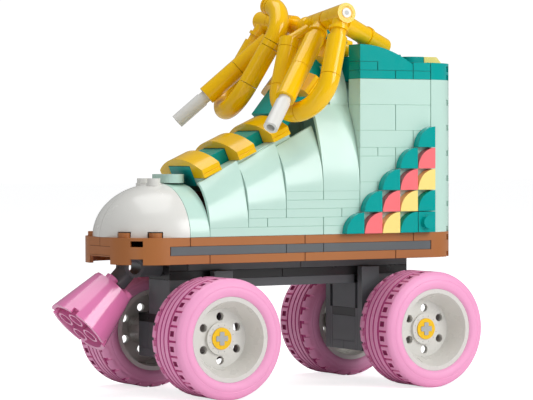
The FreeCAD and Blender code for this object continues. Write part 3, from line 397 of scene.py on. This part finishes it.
def knot_pin():
    """A white pin, with a grey core, in the open end of the left arm."""
    end = KNOT + LEFT_ARM * ARM_LENGTH
    turn = LEFT_ARM.to_track_quat("Z", "Y").to_matrix().to_4x4()
    bm = bmesh.new()
    for radius, start, length in PIN_PARTS:
        place = Matrix.Translation(end + LEFT_ARM * (start + length / 2)) @ turn
        bmesh.ops.create_cone(bm, cap_ends=True, cap_tris=False, segments=32, radius1=radius,
                              radius2=radius, depth=length, matrix=place)
    for face in bm.faces:
        offset = face.calc_center_median() - end
        core = offset.length < 0.9 and face.calc_area() < 3.0 and offset.dot(LEFT_ARM) > 0.36
        face.material_index = GREY_CORE if core else WHITE_END
        face.smooth = True
    piece = finished("knot_end_pin", bm,
                     [FINISHES["white_plastic"], FINISHES["light_grey_plastic"]],
                     "boot")
    piece.data.set_sharp_from_angle(angle=math.radians(40))


knot_pin()


# ---- eased edges -----------------------------------------------------------------
EASE = 0.11
LONG_EDGE = 2.0                # shorter edges stay sharp, or they would narrow the chamfers
FLAT = math.radians(0.5)       # a smaller bend between two faces is none
GENTLE = (math.radians(1.5), math.radians(30))         # bends between the facets of a curve
CORNER = math.radians(40)      # a larger bend gets a chamfer
BODY_OF = {node: body for body, nodes in frame["record"]["behaviour"]["bodies"].items()
           for node in nodes}
BRICKWORK = ("shaft_bricks_left", "shaft_bricks_right", "heel_bricks", "sole_base",
             "sole_end_plates", "sole_deck", "sole_edge_tiles", "collar_plates",
             "collar_slopes", "heel_tab_plate", "heel_tab_tip", "mosaic_tiles_teal",
             "mosaic_tiles_coral", "mosaic_tiles_yellow", "mosaic_stud_plates",
             "vamp_wall_plates", "vamp_wedge_plates", "lace_arches", "toe_band",
             "toe_bridge_tile", "chassis_top_plate", "chassis_middle_plate",
             "chassis_lower_plate", "truck_wall_bricks", "truck_spacer_plates",
             "truck_bearing_bricks", "truck_keeper_plates", "truck_brackets",
             "truck_side_panels", "tongue_ridge", "tongue_upper", "toe_stop_elbow")


def closed_bodies(node_name):
    """The triangles of a node, split where one closed brick ends and the next begins."""
    mesh = frame["nodes"][node_name].data
    bodies, current, open_sides = [], [], set()
    for triangle in mesh.polygons:
        corners = [tuple(round(c / MM, 4) for c in mesh.vertices[index].co)
                   for index in triangle.vertices]
        if len(set(corners)) < 3:
            continue
        current.append(corners)
        for start, end in zip(corners, corners[1:] + corners[:1]):
            if (end, start) in open_sides:
                open_sides.remove((end, start))
            else:
                open_sides.add((start, end))
        if not open_sides:
            bodies.append(current)
            current = []
    return bodies + [current] if current else bodies


def eased_brick(triangles):
    """One brick with its corners broken, the way a mould leaves them."""
    bm = bmesh.new()
    verts = {}
    for corners in triangles:
        for corner in corners:
            if corner not in verts:
                verts[corner] = bm.verts.new(corner)
        bm.faces.new([verts[corner] for corner in corners])
    bmesh.ops.dissolve_limit(bm, angle_limit=FLAT, verts=bm.verts, edges=bm.edges)
    # Only a face with a gentle bend on two sides is part of a curve.
    for face in bm.faces:
        bends = [edge for edge in face.edges if edge.is_manifold
                 and GENTLE[0] < edge.calc_face_angle() < GENTLE[1]]
        face.smooth = len(bends) > 1
    corners = [edge for edge in bm.edges if edge.is_manifold and edge.calc_length() > LONG_EDGE
               and edge.calc_face_angle() > CORNER]
    chamfers = bmesh.ops.bevel(bm, geom=corners, offset=EASE, offset_type="OFFSET",
                               affect="EDGES", segments=1, profile=0.5, material=-1,
                               clamp_overlap=True)
    # The chamfer faces take the second material: the painted seam shade.
    for face in chamfers["faces"]:
        face.material_index = 1
    bmesh.ops.triangulate(bm, faces=[face for face in bm.faces if len(face.verts) > 4])
    return bm


def eased(node_name):
    """A copy of a node, brick by brick, with chamfers in a painted seam shade."""
    bm = bmesh.new()
    for triangles in closed_bodies(node_name):
        take_in(bm, eased_brick(triangles))
    slot_name = SLOTS[node_name]
    materials = [FINISHES[slot_name], PAINTED_SEAM_SHADES.get(slot_name, FINISHES[slot_name])]
    piece = finished(node_name + "_eased", bm, materials, BODY_OF[node_name])
    piece.data.set_sharp_from_angle(angle=math.radians(28))
    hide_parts(node_name)


for node_name in BRICKWORK:
    eased(node_name)


# ---- studio ----------------------------------------------------------------------
CAMERA_PLACE = (-0.44397, -0.75345, 0.08661)
CAMERA_BACK = Vector((-0.51487, -0.85700, 0.02139))
CAMERA_ROLL = math.radians(-0.125)
CAMERA_SHIFT = (-0.0092, 0.0101)
CAMERA_LENS = 158.43
HEART = (0.0, 0.0, 0.07)       # the lamps point at the middle of the boot
LAMPS = (                      # name, place, width and height, watts
    ("key_softbox", (0.42, -0.85, 0.5), (0.55, 0.55), 5.8),
    ("top_softbox", (-0.1, 0.05, 0.95), (0.9, 0.6), 4.4),
    ("side_softbox", (-0.85, -0.35, 0.3), (0.3, 0.6), 0.5),
)


def studio_floor():
    bm = bmesh.new()
    bmesh.ops.create_grid(bm, x_segments=1, y_segments=1, size=6.0)
    mesh = bpy.data.meshes.new("studio_floor")
    bm.to_mesh(mesh)
    bm.free()
    floor = bpy.data.objects.new("studio_floor", mesh)
    bpy.context.scene.collection.objects.link(floor)
    made = bpy.data.materials.new("pale_floor")
    made.use_nodes = True
    nodes, links = made.node_tree.nodes, made.node_tree.links
    shader = nodes["Principled BSDF"]
    look = nodes.new("ShaderNodeGroup")
    look.node_tree = SURFACE
    look.inputs["Colour"].default_value = tint("FAFAFA")
    look.inputs["Clouding"].default_value = 0.01
    look.inputs["Gloss low"].default_value = 0.6
    look.inputs["Gloss high"].default_value = 0.7
    look.inputs["Ripple"].default_value = 0.0
    links.new(look.outputs["Colour"], shader.inputs["Base Color"])
    links.new(look.outputs["Roughness"], shader.inputs["Roughness"])
    shader.inputs["Specular IOR Level"].default_value = 0.1
    # The sweep is lit from behind, as seen from the camera only.
    ray = nodes.new("ShaderNodeLightPath")
    lift = nodes.new("ShaderNodeMath")
    lift.operation = "MULTIPLY"
    lift.inputs[1].default_value = 0.74
    links.new(ray.outputs["Is Camera Ray"], lift.inputs[0])
    links.new(lift.outputs[0], shader.inputs["Emission Strength"])
    shader.inputs["Emission Color"].default_value = (1, 1, 1, 1)
    mesh.materials.append(made)


def softbox(name, place, size, power):
    data = bpy.data.lights.new(name, "AREA")
    data.shape = "RECTANGLE"
    data.size, data.size_y = size
    data.energy = power
    lamp = bpy.data.objects.new(name, data)
    lamp.location = place
    lamp.rotation_mode = "QUATERNION"
    lamp.rotation_quaternion = (Vector(HEART) - Vector(place)).to_track_quat("-Z", "Y")
    bpy.context.scene.collection.objects.link(lamp)


def studio_light():
    world = bpy.data.worlds.new("studio_air")
    bpy.context.scene.world = world
    world.use_nodes = True
    nodes, links = world.node_tree.nodes, world.node_tree.links
    fill = nodes["Background"]
    fill.inputs["Color"].default_value = (0.97, 0.98, 1, 1)
    fill.inputs["Strength"].default_value = 0.27
    backdrop = nodes.new("ShaderNodeBackground")
    backdrop.inputs["Color"].default_value = (1, 1, 1, 1)
    backdrop.inputs["Strength"].default_value = 1.05
    ray = nodes.new("ShaderNodeLightPath")
    choose = nodes.new("ShaderNodeMixShader")
    links.new(ray.outputs["Is Camera Ray"], choose.inputs["Fac"])
    links.new(fill.outputs["Background"], choose.inputs[1])
    links.new(backdrop.outputs["Background"], choose.inputs[2])
    links.new(choose.outputs["Shader"], nodes["World Output"].inputs["Surface"])
    for lamp in LAMPS:
        softbox(*lamp)


def studio_camera():
    data = bpy.data.cameras.new("studio_camera")
    data.sensor_fit = "HORIZONTAL"
    data.sensor_width = 36.0
    data.lens = CAMERA_LENS
    data.shift_x, data.shift_y = CAMERA_SHIFT
    data.clip_start, data.clip_end = 0.05, 20.0
    camera = bpy.data.objects.new("studio_camera", data)
    camera.location = CAMERA_PLACE
    camera.rotation_mode = "QUATERNION"
    aim = (-CAMERA_BACK).to_track_quat("-Z", "Y")
    roll = Matrix.Rotation(CAMERA_ROLL, 3, "Z").to_quaternion()
    camera.rotation_quaternion = aim @ roll
    bpy.context.scene.collection.objects.link(camera)
    bpy.context.scene.camera = camera


studio_floor()
studio_light()
studio_camera()
bpy.context.scene.view_settings.view_transform = "Standard"
